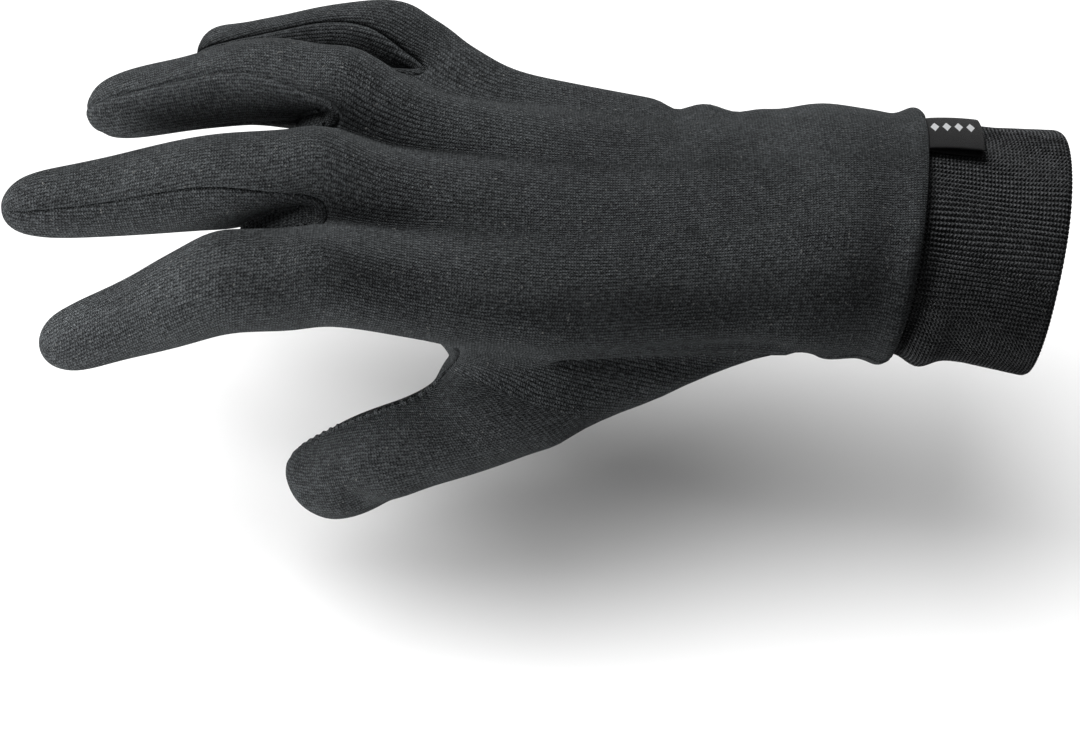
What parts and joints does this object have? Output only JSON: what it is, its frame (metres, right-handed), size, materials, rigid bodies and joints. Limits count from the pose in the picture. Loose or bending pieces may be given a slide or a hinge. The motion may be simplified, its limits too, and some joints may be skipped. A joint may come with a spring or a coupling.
{
  "type": "glove liner",
  "caption": "Thin charcoal knit glove liner for the right hand, held in its worn form, with side-panelled fingers, a ribbed cuff and a blank folded label at the wrist seam.",
  "frame": {"origin": "middle of the cuff's mouth, where the wrist goes in", "axes": "+X out of the cuff's mouth along the forearm, so the fingertips lie towards -X; +Z out of the back of the hand; the thumb on the -Y side"},
  "size_m": [0.2393, 0.1126, 0.0901],
  "materials": {
    "jersey_knit": "matt",
    "rib_knit": "matt",
    "label_ribbon": "satin weave"
  },
  "bodies": {
    "root": {"back_panel": "jersey_knit", "palm_panel": "jersey_knit", "thumb_palm": "jersey_knit", "fourchette_index_middle": "jersey_knit", "fourchette_middle_ring": "jersey_knit", "fourchette_ring_little": "jersey_knit", "cuff": "rib_knit", "label": "label_ribbon"}
  },
  "joints": []
}
